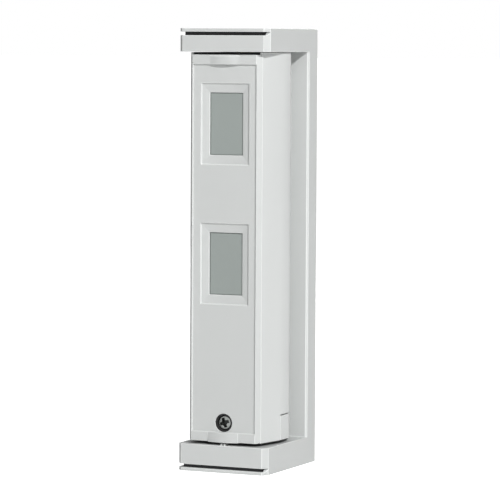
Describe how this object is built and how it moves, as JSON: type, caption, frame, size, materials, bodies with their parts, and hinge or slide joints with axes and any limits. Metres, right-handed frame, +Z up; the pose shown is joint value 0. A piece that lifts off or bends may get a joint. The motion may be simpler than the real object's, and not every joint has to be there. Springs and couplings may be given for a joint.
{
  "type": "outdoor dual pir detector",
  "caption": "Slim outdoor motion detector: a tall head with an upper and a lower lens window turns between the arms of a C-shaped wall bracket",
  "frame": {"origin": "middle of the underside of the bracket's bottom arm, in the middle of the whole depth", "axes": "+Z up, -Y the way the detector faces, +Y into the wall, +X to the right seen from the front"},
  "size_m": [0.051, 0.064, 0.229],
  "materials": {
    "bracket_plastic": "fine satin texture, cool white",
    "head_plastic": "smooth satin, cool white",
    "inner_plastic": "matt light grey",
    "dark_plastic": "matt black",
    "lens_sheet": "soft grey-green lens sheet",
    "rubber": "matt black",
    "bearing_plastic": "ivory, smooth",
    "steel": "bright zinc",
    "spring_steel": "rolled, slightly blue",
    "brass": "turned",
    "board": "green resist over tracks",
    "sensor_can": "drawn, nickel plated",
    "filter_glass": "dark, smooth",
    "terminal_green": "moulded green",
    "switch_blue": "moulded blue",
    "relay_white": "moulded off-white",
    "led_red": "tinted epoxy"
  },
  "bodies": {
    "bracket": {"bracket_shell": "bracket_plastic", "back_plate": "inner_plastic", "plate_screws": "steel", "cable_grommet": "rubber", "top_trim_strip": "dark_plastic", "bottom_trim_strip": "dark_plastic", "top_bush": "bearing_plastic", "bottom_bush": "bearing_plastic", "thrust_washer": "bearing_plastic", "click_ring": "spring_steel"},
    "head": {"head_housing": "head_plastic", "lower_rear_cap": "head_plastic", "housing_seal": "rubber", "top_gap_seal": "rubber", "bottom_gap_seal": "rubber", "top_pivot": "brass", "bottom_pivot": "brass", "top_pivot_clip": "spring_steel", "bottom_pivot_clip": "spring_steel", "click_spring": "spring_steel", "main_board": "board", "board_screws": "steel", "upper_sensor": "sensor_can", "lower_sensor": "sensor_can", "sensor_filters": "filter_glass", "upper_chamber": "dark_plastic", "lower_chamber": "dark_plastic", "terminal_block": "terminal_green", "terminal_screws": "steel", "alarm_relay": "relay_white", "processor_chip": "dark_plastic", "capacitors": "sensor_can", "walk_test_led": "led_red", "tamper_switch": "dark_plastic", "dip_switch": "switch_blue", "lock_insert": "brass"},
    "cover": {"front_cover": "head_plastic", "upper_lens": "lens_sheet", "lower_lens": "lens_sheet", "upper_lens_holder": "dark_plastic", "lower_lens_holder": "dark_plastic"},
    "lock_seat": {"lock_screw_washer": "rubber"},
    "lock_screw": {"lock_screw": "steel", "lock_screw_clip": "bearing_plastic"},
    "tamper_plunger": {"tamper_plunger": "bearing_plastic"},
    "range_shutter": {"range_shutter": "inner_plastic"},
    "dip_slider_1": {"dip_slider_1": "relay_white"},
    "dip_slider_2": {"dip_slider_2": "relay_white"},
    "dip_slider_3": {"dip_slider_3": "relay_white"},
    "dip_slider_4": {"dip_slider_4": "relay_white"}
  },
  "joints": [
    {"name": "head_turn", "type": "hinge", "parent": "bracket", "child": "head", "pos_m": [0, -0.0053, 0], "axis": [0, 0, 1], "range_deg": [-95, 95]},
    {"name": "cover_pull", "type": "slide", "parent": "head", "child": "cover", "axis": [0, -1, 0], "range_m": [0, 0.05]},
    {"name": "lock_lift", "type": "slide", "parent": "cover", "child": "lock_seat", "axis": [0, -1, 0], "range_m": [0, 0.0042]},
    {"name": "lock_turn", "type": "hinge", "parent": "lock_seat", "child": "lock_screw", "pos_m": [0, -0.0255, 0.0258], "axis": [0, -1, 0], "range_deg": [0, 2160]},
    {"name": "tamper_press", "type": "slide", "parent": "head", "child": "tamper_plunger", "axis": [0, 1, 0], "range_m": [0, 0.0012], "stiffness_N_per_m": 300, "springref_m": -0.001},
    {"name": "shutter_slide", "type": "slide", "parent": "head", "child": "range_shutter", "axis": [0, 0, 1], "range_m": [0, 0.008]},
    {"name": "dip_1", "type": "slide", "parent": "head", "child": "dip_slider_1", "axis": [1, 0, 0], "range_m": [0, 0.0016]},
    {"name": "dip_2", "type": "slide", "parent": "head", "child": "dip_slider_2", "axis": [1, 0, 0], "range_m": [0, 0.0016]},
    {"name": "dip_3", "type": "slide", "parent": "head", "child": "dip_slider_3", "axis": [1, 0, 0], "range_m": [0, 0.0016]},
    {"name": "dip_4", "type": "slide", "parent": "head", "child": "dip_slider_4", "axis": [1, 0, 0], "range_m": [0, 0.0016]}
  ],
  "couplings": [
    {"joint": "lock_turn", "follows": "lock_lift", "rad_per_m": 8976}
  ]
}
